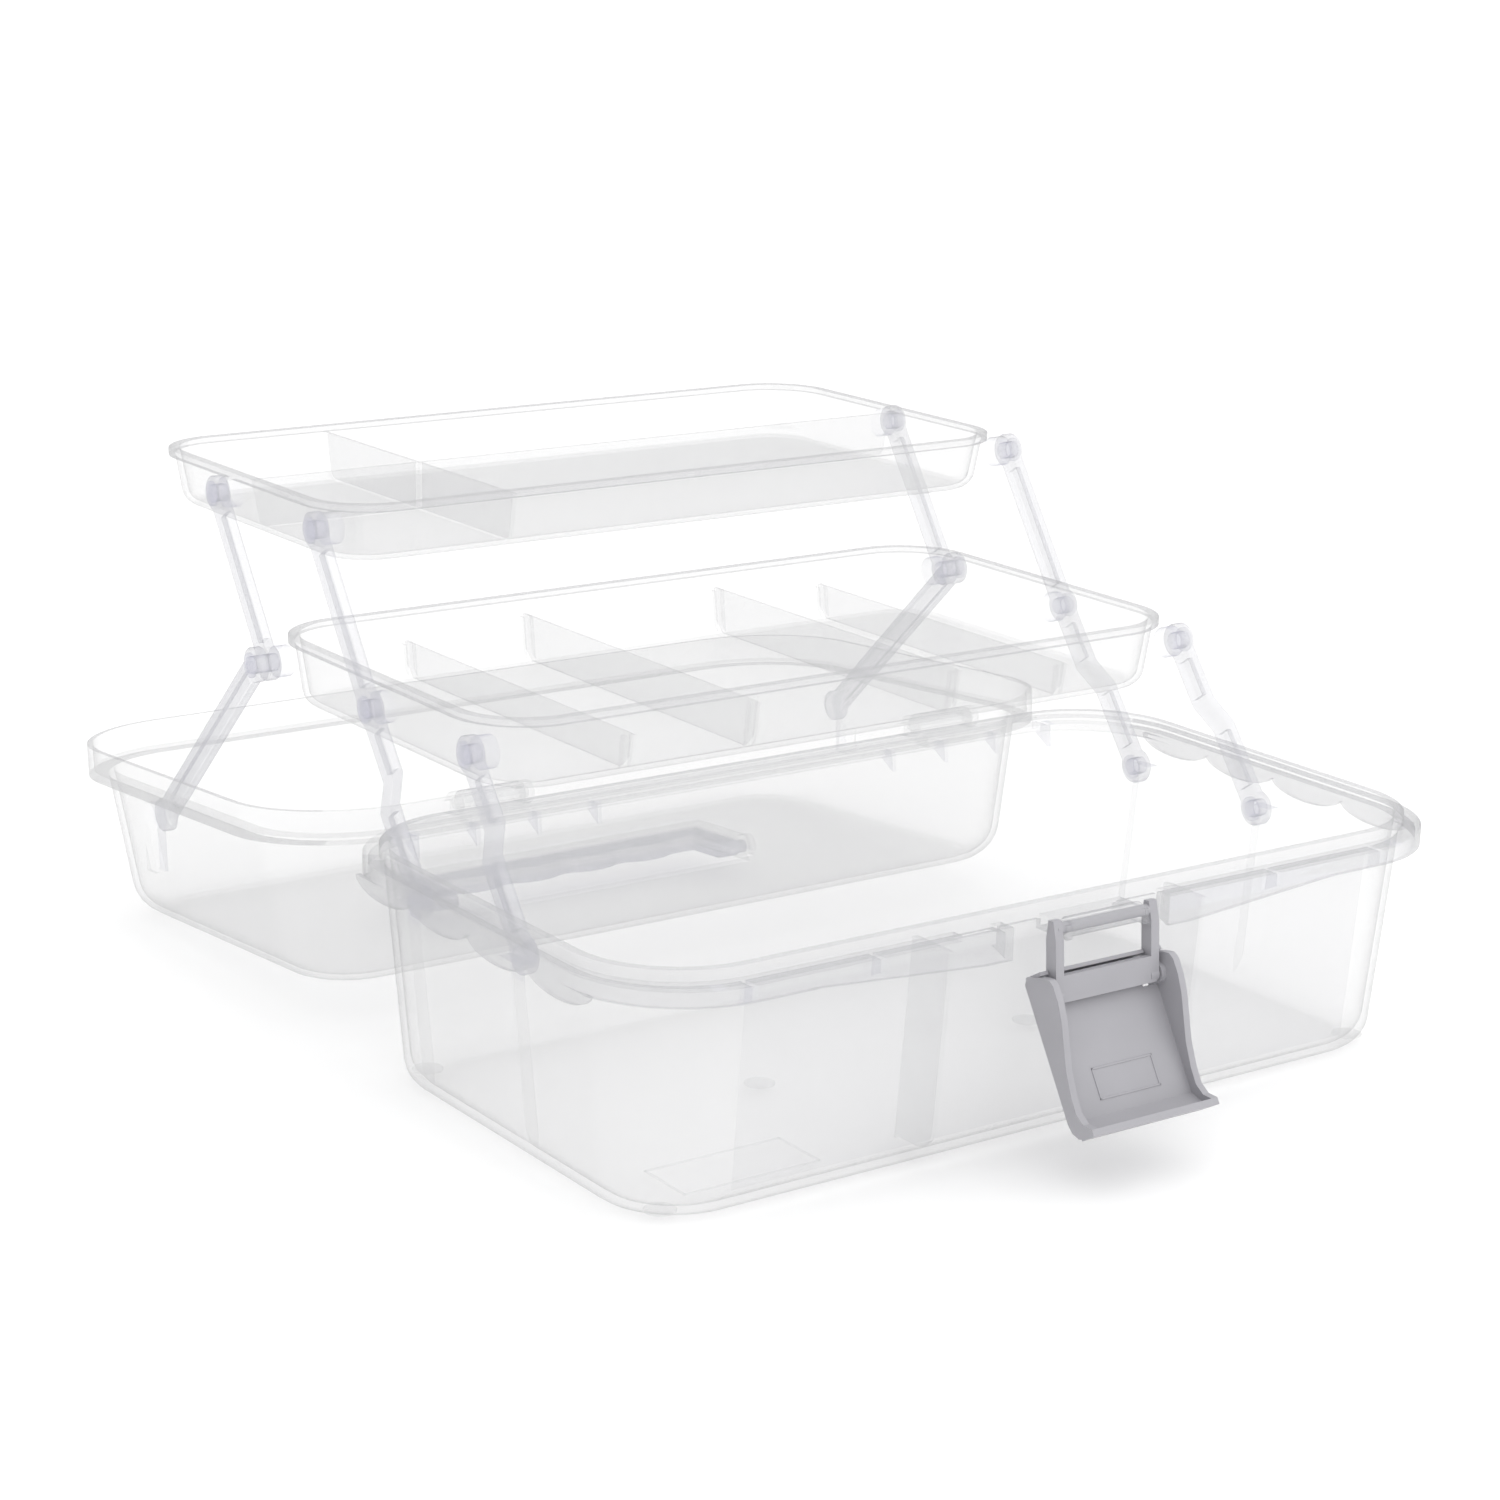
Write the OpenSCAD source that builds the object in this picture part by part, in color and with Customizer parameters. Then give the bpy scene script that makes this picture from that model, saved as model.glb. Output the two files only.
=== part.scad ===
// Three-tier cantilever tool box of clear polypropylene, standing open.
// X runs along the front, Y to the back, Z up; the origin is on the floor under the base's middle.
// The lid is drawn shut and then swung back about its hinge to where it lies open.

/* [Base] */
// Inside width of the base at its rim
base_w = 314; // [300:1:340]
// Inside depth of the base at its rim
base_d = 170; // [164:1:190]
// Height of the base to the top of its lip
base_h = 81; // [78:0.5:84]
// How far each base wall leans in from rim to floor
base_draft = 7; // [4:0.5:9]
// Corner radius of the base at its rim
base_corner = 32; // [24:1:33]
// Radius where the base walls meet the floor
base_foot = 9; // [6:0.5:12]
// Wall of the base and the lid
shell_wall = 2; // [1.6:0.1:2.6]
// Width of the raised lip round the opening
lip_w = 3; // [2.4:0.1:4]
// Step from the lip down to the ledge that carries the lid
ledge_drop = 3.5; // [2.5:0.1:5]
// How far the ledge stands out from the opening at the two ends
ledge_side = 7.5; // [6:0.1:9]
// How far the ledge stands out from the opening at front and back
ledge_front = 9.5; // [8:0.1:11]
// Depth of the rim's outer skirt
rim_skirt = 6; // [5:0.5:9]
// Depth that the skirt hangs further at its waves and beside the latch
skirt_wave = 4.5; // [3:0.5:7]
// Half width of the gap in the rim where the latch hangs
latch_gap = 31; // [30:0.5:40]
// Where the inner fin left of the latch stands
left_fin_x = -46; // [-60:1:-34]
// Where the inner fin right of the latch stands
right_fin_x = 55; // [34:1:60]
// How far the inner fins reach into the base
fin_reach = 18; // [8:1:24]

/* [Lid] */
// How much lower the lid is than the base
lid_less_h = 16.6; // [12:0.2:20]
// Depth of the lid's skirt
lid_skirt = 11.4; // [9:0.2:13]
// How far the skirt stands out from the lid's body
lid_step = 7; // [5:0.5:8]
// How far the lid's skirt overhangs the ledge
lid_over = 1.5; // [1:0.1:2.5]
// How far each lid wall leans in
lid_draft = 8; // [5:0.5:10]
// Radius round the top of the lid
lid_edge = 12; // [8:0.5:14]
// Angle from shut to lying open
lid_open = 184.4; // [180:0.1:186]

/* [Trays] */
// Room for the arms between the lower tray and each end wall of the base
tray_side_room = 16; // [15.6:0.1:22]
// Room between the lower tray and the front and back walls of the base
tray_front_room = 8; // [6:0.5:14]
// Height of the lower tray
lower_h = 24.2; // [22:0.2:24.6]
// How much narrower the upper tray is than the lower one
upper_less_w = 1; // [0:0.5:6]
// How much shallower from front to back the upper tray is
upper_less_d = 11.6; // [8:0.2:16]
// Height of the upper tray
upper_h = 20.2; // [16:0.2:20.8]
// Wall of both trays and of their dividers
tray_wall = 1.6; // [1.2:0.1:2]
// Corner radius of the lower tray at its bead
lower_corner = 26; // [18:1:30]
// Corner radius of the upper tray at its bead
upper_corner = 24; // [18:1:30]
// How far each tray wall leans in
tray_draft = 3.4; // [2:0.2:5]
// Radius where the tray walls meet the floor
tray_foot = 5; // [3:0.5:7]
// How far the bead stands out from the tray wall
bead_w = 2.2; // [1.6:0.1:2.8]
// Thickness of the bead
bead_t = 2.4; // [1.8:0.1:3]
// Height of the two outer lift-out dividers
low_divider_h = 13.2; // [10:0.2:15]
// Height of the two middle lift-out dividers
tall_divider_h = 17.1; // [14:0.1:17.2]
// Side clearance of a divider in its slot and at its ends
divider_fit = 0.3; // [0.2:0.05:0.5]
// Distance of the upper tray's fixed cross wall from its left end
upper_cross_in = 69.5; // [50:0.5:90]
// Distance from the lower tray's front edge back to its front pivot
lower_pivot_in = 8.7; // [8:0.1:10]
// Height of the lower tray's pivots over its floor
lower_pivot_up = 14.6; // [12:0.1:16]
// Distance from the upper tray's front edge back to its front pivot
upper_pivot_in = 7.5; // [7:0.1:9]
// Height of the upper tray's pivots over its floor
upper_pivot_up = 13.1; // [11:0.1:14]

/* [Linkage] */
// Distance of the rear base pivots from the inside of the back wall
rear_pivot_in = 30; // [28:0.5:32]
// How far both base pivots lie under the top of the lip
base_pivot_down = 16; // [14:0.5:18]
// Rise of the lower arms when open
arm_rise = 52.5; // [50:0.5:54]
// Reach of the lower arms to the back when open
arm_reach = 39; // [37:0.5:41]
// Distance between the front and rear pivots of the lower arms
lower_pitch = 63; // [58:0.5:66]
// Rise of the upper arms when open
upper_rise = 52; // [51:0.5:54]
// Reach of the upper arms to the back when open
upper_reach = 35.2; // [34:0.2:37]
// Distance between the two pivots of the upper tray
upper_pitch = 70.5; // [66:0.5:73]
// Width of the arms
arm_w = 8.4; // [7:0.2:9]
// Thickness of the arms
arm_t = 3.6; // [3:0.1:4.2]
// Outside radius of the eyes at the arm ends
eye_r = 6; // [5:0.1:6.5]
// Radius of every pivot pin
pin_r = 3; // [2.5:0.1:3.5]
// Radial clearance of a pin in its bore
pin_fit = 0.05; // [0.03:0.01:0.1]
// Side clearance between neighbours on a pin
side_fit = 0.4; // [0.3:0.05:0.6]
// Step from the inner run of a lower arm to its outer run
arm_jog = 4.6; // [4.5:0.1:5]
// Distance of the lid arm's pivot behind the hinge, when open
lid_pivot_back = 135.8; // [134:0.2:137]
// How far the lid arm's pivot lies under the hinge, when open
lid_pivot_down = 32.1; // [31:0.1:33]

/* [Hinge] */
// Distance of the hinge axis behind the ledge
hinge_back = 7.7; // [7.5:0.1:8.5]
// How far the hinge axis lies under the top of the lip
hinge_down = 2.5; // [2:0.1:3]
// Radius of the hinge pins on the lid
hinge_pin_r = 2; // [1.5:0.1:2.2]
// Outside radius of the hinge knuckles
knuckle_r = 4; // [3.6:0.1:4.2]
// Distance of each hinge from the middle
hinge_x = 95; // [80:1:105]
// Length of each hinge between its ears
hinge_len = 30; // [20:1:36]

/* [Latch] */
// Distance of the frame's axle in front of the ledge
latch_out = 4.5; // [4.3:0.1:5.5]
// How far the frame's axle lies under the top of the lip
latch_down = 5; // [4.5:0.1:5.5]
// Width of the frame's two arms
frame_arm_w = 4.6; // [4:0.1:5]
// Thickness of the frame's two arms
frame_arm_t = 3.2; // [2.6:0.1:3.6]
// Height of the flat bar across the foot of the frame
frame_bar_h = 8.4; // [6:0.2:8.6]
// Thickness of that bar
frame_bar_t = 2.4; // [1.8:0.1:2.6]
// Distance from the frame's axle down to the lever's axle
frame_drop = 20.5; // [19.5:0.1:21]
// Width over the frame
frame_w = 41; // [38:0.5:44]
// Radius of the frame's axle
axle_r = 1.8; // [1.5:0.1:1.9]
// Width over the lever at its axle
lever_w = 50; // [48:0.5:54]
// Length of the lever from its axle to its lip
lever_len = 44; // [38:0.5:46]
// Depth of the lever's side walls
lever_wall = 8; // [6:0.2:9]
// Angle that the hanging lever stands off the upright
lever_lean = 31; // [28:0.5:33]

/* [Handle] */
// Length of the handle's recess in the lid
recess_l = 134; // [124:1:150]
// Width of the recess
recess_w = 40; // [36:1:50]
// Depth of the recess
recess_h = 7.6; // [7.2:0.2:8]
// How much each long side of the recess slopes in towards its floor
recess_draft = 4; // [2:0.5:4]
// Height of the grip's bar
grip_t = 6; // [5:0.1:6.2]
// Width of the grip's bar
grip_w = 10; // [8:0.5:12]
// Distance from the handle's pins to the grip's bar
grip_reach = 22; // [18:0.5:24]
// Pitch of the finger bumps
bump_pitch = 25; // [22:0.5:27]
// Radius of the handle's pins
handle_pin_r = 2.4; // [2:0.1:2.8]

/* [Hidden] */
$fn = 48;
skin = 0.01;
clear_pp = [0.93, 0.93, 0.95];
tinted_pp = [0.86, 0.86, 0.93];
grey_pp = [0.71, 0.71, 0.74];
lower_w = base_w - 2 * tray_side_room;
lower_d = base_d - 2 * tray_front_room;
upper_w = lower_w - upper_less_w;
upper_d = lower_d - upper_less_d;
divider_x = [-0.312, -0.142, 0.149, 0.316] * lower_w;
divider_h = [low_divider_h, tall_divider_h, tall_divider_h, low_divider_h];
divider_gap = 0.6;
slot_rib = 1.2;

ledge_z = base_h - ledge_drop;
ledge_t = 1.8;
lip_out_w = base_w + 2 * lip_w;
lip_out_d = base_d + 2 * lip_w;
ledge_w = base_w + 2 * ledge_side;
ledge_d = base_d + 2 * ledge_front;

lid_z = ledge_z + 0.3;
lid_top = lid_z + base_h - lid_less_h;
lid_shelf = lid_z + lid_skirt;
lid_w = ledge_w + 2 * lid_over;
lid_d = ledge_d + 2 * lid_over;
body_w = lid_w - 2 * lid_step;
body_d = lid_d - 2 * lid_step;

hinge_y = ledge_d / 2 + hinge_back;
hinge_z = base_h - hinge_down;

// pivots as [y, z] with the box open
base_rear = [base_d / 2 - rear_pivot_in, base_h - base_pivot_down];
base_front = base_rear - [lower_pitch, 0];
tray_mid = base_rear + [arm_reach, arm_rise];
tray_front = base_front + [arm_reach, arm_rise];
tray_rear = tray_mid + [upper_pitch, 0];
top_front = tray_mid + [upper_reach, upper_rise];
top_rear = top_front + [upper_pitch, 0];
lid_eye = [hinge_y + lid_pivot_back, hinge_z - lid_pivot_down];

// the trays hang on those pivots
lower_y = tray_front[0] + lower_d / 2 - lower_pivot_in;
lower_z = tray_front[1] - lower_pivot_up;
upper_y = top_front[0] + upper_d / 2 - upper_pivot_in;
upper_z = top_front[1] - upper_pivot_up;
upper_cross_x = upper_cross_in - upper_w / 2;

// runs of the arms along X, from the trays outwards
inner_run = max(lower_w, upper_w) / 2 + 1.4;
outer_run = inner_run + arm_jog;
head_t = 0.7;
boss_r = 5.4;
head_r = 4.3;

latch_y = ledge_d / 2 + latch_out;
latch_z = base_h - latch_down;
latch_axle = [-latch_y, latch_z];
lever_axle = latch_axle + [-1.5, -frame_drop];
clip_r = 3.2;

// inside half width and half depth of the base at a height
function base_in_w(z) = base_w / 2 - base_draft * (1 - z / base_h);
function base_in_d(z) = base_d / 2 - base_draft * (1 - z / base_h);
// inside half width of the lid's body at a height, with the lid shut
function lid_in_w(z) = body_w / 2 - shell_wall - lid_draft * (z - lid_shelf) / (lid_top - lid_shelf);
// place of a point of the lid, given open, when the lid is shut
function shut(p) = [hinge_y, hinge_z] + [
  (p[0] - hinge_y) * cos(lid_open) - (p[1] - hinge_z) * sin(lid_open),
  (p[0] - hinge_y) * sin(lid_open) + (p[1] - hinge_z) * cos(lid_open)];

// rounded rectangle in the plane
module rounded(w, d, r) {
  square([w - 2 * r, d], center = true);
  square([w, d - 2 * r], center = true);
  for (sx = [-1, 1], sy = [-1, 1])
    translate([sx * (w / 2 - r), sy * (d / 2 - r)]) circle(r);
}

// tapering tub with a rounded foot; w, d and r are those of its top
module tub(w, d, r, h, draft, foot) {
  hull() {
    translate([0, 0, h - skin]) linear_extrude(skin) rounded(w, d, r, $fn = 32);
    for (a = [0 : 22.5 : 90]) {
      z = foot * (1 - sin(a));
      inset = draft * (1 - z / h) + foot * (1 - cos(a));
      translate([0, 0, z]) linear_extrude(skin)
        rounded(w - 2 * inset, d - 2 * inset, max(r - inset, 3), $fn = 32);
    }
  }
}

// flat ring between two rounded rectangles
module ring(z0, z1, w, d, r, t_side, t_front) {
  translate([0, 0, z0]) linear_extrude(z1 - z0) difference() {
    rounded(w, d, r);
    rounded(w - 2 * t_side, d - 2 * t_front, max(r - max(t_side, t_front), 3));
  }
}

// a [y, z] outline extruded along X from x0 to x1
module along_x(x0, x1) {
  translate([x0, 0, 0]) rotate([90, 0, 90]) linear_extrude(x1 - x0) children();
}

// disc across X at a pivot
module disc(p, r, x0, x1) {
  translate([x0, p[0], p[1]]) rotate([0, 90, 0]) cylinder(r = r, h = x1 - x0);
}

// bar between two pivots, in the plane of the link
module bar2(a, b, w) {
  d = b - a;
  translate(a) rotate(atan2(d[1], d[0])) translate([0, -w / 2]) square([norm(d), w]);
}

module on_side(side) {
  if (side > 0) children();
  else mirror([1, 0, 0]) children();
}

module both_sides() {
  for (side = [-1, 1]) on_side(side) children();
}

// ---- base -------------------------------------------------------------------

module base_walls() {
  difference() {
    tub(base_w + 2 * shell_wall, base_d + 2 * shell_wall, base_corner + shell_wall,
      base_h - ledge_drop, base_draft, base_foot);
    translate([0, 0, shell_wall])
      tub(base_w, base_d, base_corner, base_h - shell_wall + skin, base_draft, base_foot);
  }
}

module base_rim() {
  ring(ledge_z - ledge_t, base_h, lip_out_w, lip_out_d, base_corner + lip_w, lip_w, lip_w);
  ring(ledge_z - ledge_t, ledge_z, ledge_w, ledge_d, base_corner + ledge_front,
    ledge_side - lip_w + 0.5, ledge_front - lip_w + 0.5);
  ring(ledge_z - rim_skirt, ledge_z, ledge_w, ledge_d, base_corner + ledge_front, ledge_t, ledge_t);
}

// waves that hang from the skirt at both ends
module end_waves() {
  wave = 34;
  for (y = [-1.5 : 1 : 1.5])
    intersection() {
      along_x(ledge_w / 2 - ledge_t, ledge_w / 2)
        translate([y * wave * 0.98, ledge_z - rim_skirt + 24]) circle(24 + skirt_wave, $fn = 96);
      translate([ledge_w / 2 - ledge_t, y * wave - wave / 2, ledge_z - rim_skirt - skirt_wave])
        cube([ledge_t, wave, skirt_wave + 1]);
    }
}

// deeper front skirt on either side of the latch, with the rim's boxed ends
module front_skirt() {
  reach = 0.325 * base_w;
  low = ledge_z - rim_skirt;
  both_sides() {
    translate([0, -ledge_d / 2 + ledge_t, 0]) rotate([90, 0, 0]) linear_extrude(ledge_t)
      polygon([[latch_gap, ledge_z - 1], [latch_gap, low - skirt_wave],
        [latch_gap + 10, low - skirt_wave], [reach, low], [reach, ledge_z - 1]]);
    along_x(latch_gap, latch_gap + 1.6)
      polygon([[-base_in_d(low) - 1, low - skirt_wave + 3], [-base_in_d(low) - 1, ledge_z - 1],
        [-ledge_d / 2 + 1, ledge_z - 1], [-ledge_d / 2 + 1, low - skirt_wave]]);
    for (i = [0.25, 0.395])
      gusset(i * base_w, -1);
  }
}

// openings through the ledge: the gap for the latch and the slot beside it
module rim_openings() {
  translate([-latch_gap, -ledge_d, 0]) cube([2 * latch_gap, ledge_d - lip_out_d / 2, base_h]);
  translate([-latch_gap - 18, -ledge_d / 2 + ledge_t, ledge_z - 5]) cube([14, ledge_front - lip_w - ledge_t, 6]);
}

// triangular gusset from the ledge to the wall, on the front (-1) or the back (1)
module gusset(x, face) {
  depth = rim_skirt + 4;
  translate([x - 0.8, 0, 0]) rotate([90, 0, 90]) linear_extrude(1.6)
    polygon([[face * (base_in_d(ledge_z) + 1), ledge_z - 1], [face * (ledge_d / 2 - 0.5), ledge_z - 1],
      [face * (ledge_d / 2 - 0.5), ledge_z - rim_skirt + 1],
      [face * (base_in_d(ledge_z - depth) + 1), ledge_z - depth]]);
}

// fin that stands on the floor against the inside of the front wall
module front_fin(x) {
  top = ledge_z - 8;
  along_x(x - 0.9, x + 0.9)
    polygon([[-base_in_d(top) - 1, top], [-base_in_d(base_foot) - 1, base_foot],
      [-base_in_d(0) + base_foot - 2, 1], [-base_in_d(0) + fin_reach, 1], [-base_in_d(top) + fin_reach, top]]);
}

// bracket, boss, pin and head that carry the foot of an arm
module base_pivot(p) {
  face = outer_run + arm_t + side_fit;
  wall_x = base_in_w(p[1]) + 1;
  disc(p, boss_r, face, wall_x + 0.6);
  disc(p, pin_r, outer_run - side_fit / 2, face + 1);
  disc(p, head_r, outer_run - side_fit / 2 - head_t, outer_run - side_fit / 2);
  // column under the boss, which leans with the wall
  low = face - base_draft * (p[1] - base_foot) / base_h;
  translate([0, p[0] + 4, 0]) rotate([90, 0, 0]) linear_extrude(8)
    polygon([[face, p[1]], [wall_x, p[1]], [base_in_w(base_foot) + 1, base_foot],
      [low + 1.5, 2.5], [low, 2.5], [low, base_foot], [face, p[1] - boss_r - 2]]);
}

// knuckle that clips over a hinge pin of the lid
module base_knuckle() {
  len = hinge_len - 6 - 2 * side_fit;
  difference() {
    union() {
      disc([hinge_y, hinge_z], knuckle_r, hinge_x - len / 2, hinge_x + len / 2);
      translate([hinge_x - len / 2, ledge_d / 2 - 1, ledge_z - 6])
        cube([len, hinge_y - ledge_d / 2 + 1, 5]);
    }
    disc([hinge_y, hinge_z], hinge_pin_r + pin_fit, hinge_x - len, hinge_x + len);
  }
}

// clip that holds the axle of the latch frame, on a shelf from the front wall
module latch_clip() {
  half = frame_w / 2 - 6;
  difference() {
    union() {
      disc(latch_axle, clip_r, -half, half);
      translate([-half, -latch_y, latch_z - clip_r])
        cube([2 * half, latch_y - base_in_d(latch_z) - 1, clip_r + 1.2]);
    }
    disc(latch_axle, axle_r + pin_fit, -half - 1, half + 1);
  }
}

module floor_pads() {
  x = base_w / 2 - 18;
  y = base_d / 2 - 17;
  for (p = [[-x, -y], [x, -y], [-x, y], [x, y], [-0.4 * x, 0], [0.4 * x, 0]])
    translate([p[0], p[1], shell_wall - skin]) cylinder(r = 5, h = 0.6);
}

module base_shell() color(clear_pp) {
  base_walls();
  difference() {
    base_rim();
    rim_openings();
  }
  front_fin(left_fin_x);
  front_fin(right_fin_x);
  front_skirt();
  both_sides() {
    end_waves();
    base_pivot(base_front);
    base_pivot(base_rear);
    base_knuckle();
    for (i = [0 : 3]) gusset(base_w / 2 - 24.5 - 23.5 * i, 1);
  }
  latch_clip();
  floor_pads();
}

// ---- lid --------------------------------------------------------------------

module lid_pose() {
  translate([0, hinge_y, hinge_z]) rotate([-lid_open, 0, 0]) translate([0, -hinge_y, -hinge_z]) children();
}

module lid_tub(cut) {
  w = body_w - 2 * cut;
  d = body_d - 2 * cut;
  translate([0, 0, lid_top - cut]) mirror([0, 0, 1])
    tub(w, d, base_corner + 4 - cut, lid_top - lid_shelf + (cut > 0 ? skin : shell_wall), lid_draft, lid_edge - cut);
}

module lid_hinge() {
  for (x = [hinge_x - hinge_len / 2, hinge_x + hinge_len / 2 - 3]) {
    disc([hinge_y, hinge_z], knuckle_r, x, x + 3);
    translate([x, lid_d / 2 - 1, lid_z + 0.5]) cube([3, hinge_y - lid_d / 2 + 1, 4.2]);
  }
  disc([hinge_y, hinge_z], hinge_pin_r, hinge_x - hinge_len / 2 + 1, hinge_x + hinge_len / 2 - 1);
}

recess_y = -2;
recess_floor = lid_top - recess_h;
handle_y = recess_y + recess_w / 2 - 8;
handle_z = lid_top - recess_h / 2 - 0.4;

// trough for the handle, wider at its mouth
module recess_shape(wall, z0, z1) {
  slope = recess_draft / recess_h;
  low = recess_w / 2 + wall - slope * (lid_top - z0);
  high = recess_w / 2 + wall - slope * (lid_top - z1);
  along_x(-recess_l / 2 - wall, recess_l / 2 + wall) translate([recess_y, 0])
    polygon([[-low, z0], [low, z0], [high, z1], [-high, z1]]);
}

module lid_shell() color(clear_pp) lid_pose() {
  eye = shut(lid_eye);
  difference() {
    union() {
      difference() {
        lid_tub(0);
        lid_tub(shell_wall);
      }
      ring(lid_shelf - shell_wall, lid_shelf, lid_w, lid_d, base_corner + ledge_front + lid_over,
        lid_step + shell_wall, lid_step + shell_wall);
      ring(lid_z, lid_shelf, lid_w, lid_d, base_corner + ledge_front + lid_over, shell_wall, shell_wall);
      recess_shape(shell_wall, recess_floor - shell_wall, lid_top - shell_wall);
      both_sides() {
        lid_hinge();
        // pad and column that face the eye of the lid arm
        disc(eye, boss_r, outer_run + arm_t + side_fit, lid_in_w(eye[1]) + 1);
        translate([outer_run + arm_t + side_fit, eye[0] - 3.5, eye[1]])
          cube([lid_in_w(eye[1]) + 0.6 - outer_run - arm_t - side_fit, 7, 20]);
        disc([handle_y, handle_z], 4.6, recess_l / 2 + 0.5, recess_l / 2 + 6);
      }
    }
    recess_shape(0, recess_floor, lid_top + 1);
    disc([handle_y, handle_z], handle_pin_r + pin_fit, -recess_l / 2 - 4.5, recess_l / 2 + 4.5);
  }
}

// ---- trays ------------------------------------------------------------------

// children stand on the outside of the tray's walls
module tray(w, d, h, r) {
  wall_w = w - 2 * bead_w;
  wall_d = d - 2 * bead_w;
  difference() {
    union() {
      tub(wall_w, wall_d, r - bead_w, h, tray_draft, tray_foot);
      children();
    }
    translate([0, 0, tray_wall])
      tub(wall_w - 2 * tray_wall, wall_d - 2 * tray_wall, r - bead_w - tray_wall,
        h - tray_wall + skin, tray_draft, tray_foot - tray_wall);
  }
  ring(h - bead_t, h, w, d, r, bead_w + 0.8, bead_w + 0.8);
}

// boss, pin and head on a tray's end wall; reach is the far face of the last arm on the pin
module tray_pivot(p, wall_x, reach) {
  disc(p, boss_r, wall_x - 12, inner_run - side_fit);
  disc(p, pin_r, inner_run - side_fit - 1, reach + side_fit / 2);
  disc(p, head_r, reach + side_fit / 2, reach + side_fit / 2 + head_t);
}

// pairs of ribs that hold a divider against the front and back walls
module divider_slots(x, h) {
  for (side = [-1, 1], face = [-1, 1]) {
    half = lower_d / 2 - bead_w;
    translate([x + side * (tray_wall / 2 + divider_fit + slot_rib / 2) - slot_rib / 2,
        face > 0 ? half - 5.2 : -half + 1.2, 1]) cube([slot_rib, 4, h - 1]);
  }
}

module lower_tray() color(clear_pp) {
  wall_x = lower_w / 2 - bead_w;
  translate([0, lower_y, lower_z]) {
    tray(lower_w, lower_d, lower_h, lower_corner)
      translate([0, -lower_y, -lower_z]) both_sides() {
        tray_pivot(tray_front, wall_x, inner_run + arm_t);
        tray_pivot(tray_mid, wall_x, inner_run + arm_t);
        tray_pivot(tray_rear, wall_x, outer_run + arm_t);
      }
    intersection() {
      for (i = [0 : 3]) divider_slots(divider_x[i], divider_h[i]);
      tub(2 * wall_x, lower_d - 2 * bead_w, lower_corner, lower_h, tray_draft, tray_foot);
    }
  }
}

module upper_tray() color(clear_pp) {
  wall_x = upper_w / 2 - bead_w;
  translate([0, upper_y, upper_z]) {
    tray(upper_w, upper_d, upper_h, upper_corner)
      translate([0, -upper_y, -upper_z]) both_sides() {
        tray_pivot(top_front, wall_x, inner_run + arm_t);
        tray_pivot(top_rear, wall_x, inner_run + arm_t);
      }
    intersection() {
      union() {
        translate([upper_cross_x - tray_wall / 2, -upper_d / 2, 1]) cube([tray_wall, upper_d, upper_h - 2.8]);
        translate([-upper_w / 2, -2 - tray_wall / 2, 1]) cube([upper_w, tray_wall, upper_h - 2.8]);
      }
      tub(2 * wall_x - 1, upper_d - 2 * bead_w - 1, upper_corner - bead_w, upper_h, tray_draft, tray_foot);
    }
  }
}

// lift-out divider across the lower tray, standing on its floor
module divider(i) {
  h = divider_h[i];
  half_top = lower_d / 2 - bead_w - tray_wall - divider_gap;
  lean = tray_draft * (lower_h - h) / lower_h;
  foot = 5;
  color(clear_pp)
    translate([divider_x[i] - tray_wall / 2, lower_y, lower_z + tray_wall + divider_fit])
      rotate([90, 0, 90]) linear_extrude(tray_wall)
        polygon([[-half_top + lean, h - 1], [-half_top + tray_draft, foot],
          [-half_top + tray_draft + foot, 0], [half_top - tray_draft - foot, 0],
          [half_top - tray_draft, foot], [half_top - lean, h - 1]]);
}

// ---- arms -------------------------------------------------------------------

// strip between two points of an arm, hollow on its inner side but for its two ends
module strip(a, b, x0, end_a, end_b) {
  d = b - a;
  difference() {
    along_x(x0, x0 + arm_t) bar2(a, b, arm_w);
    along_x(x0 - 1, x0 + arm_t - 1.4)
      translate(a) rotate(atan2(d[1], d[0])) translate([end_a, -arm_w / 2 + 1.6])
        square([norm(d) - end_a - end_b, arm_w - 3.2]);
  }
}

module eye(p, x0) {
  difference() {
    disc(p, eye_r, x0, x0 + arm_t);
    disc(p, pin_r + pin_fit, x0 - 1, x0 + arm_t + 1);
  }
}

function part_way(a, b, s) = a + (b - a) * s / norm(b - a);

// slanting stretch that takes an arm from its inner run to its outer run, s1 to s2 along it
module jog(a, b, s1, s2) {
  d = b - a;
  translate([0, a[0], a[1]]) rotate([atan2(d[1], d[0]), 0, 0]) translate([0, 0, -arm_w / 2])
    linear_extrude(arm_w)
      polygon([[inner_run, s1 - 1.5], [inner_run + arm_t, s1 - 1.5], [inner_run + arm_t, s1],
        [outer_run + arm_t, s2], [outer_run + arm_t, s2 + 1.5], [outer_run, s2 + 1.5],
        [outer_run, s2], [inner_run, s1]]);
}

// lower arm from a tray pivot down to a base pivot, stepping outwards on the way
module stepped_arm(top, foot) {
  s1 = 0.37 * norm(foot - top);
  s2 = s1 + 10;
  difference() {
    union() {
      strip(top, part_way(top, foot, s1), inner_run, eye_r + 2, 2);
      jog(top, foot, s1, s2);
      strip(part_way(top, foot, s2), foot, outer_run, 2, eye_r + 2);
    }
    disc(top, eye_r - 0.5, inner_run - 1, outer_run + arm_t + 1);
    disc(foot, eye_r - 0.5, inner_run - 1, outer_run + arm_t + 1);
  }
  eye(top, inner_run);
  eye(foot, outer_run);
}

module straight_arm(a, b, x0) {
  difference() {
    strip(a, b, x0, eye_r + 2, eye_r + 2);
    disc(a, eye_r - 0.5, x0 - 1, x0 + arm_t + 1);
    disc(b, eye_r - 0.5, x0 - 1, x0 + arm_t + 1);
  }
}

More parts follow.
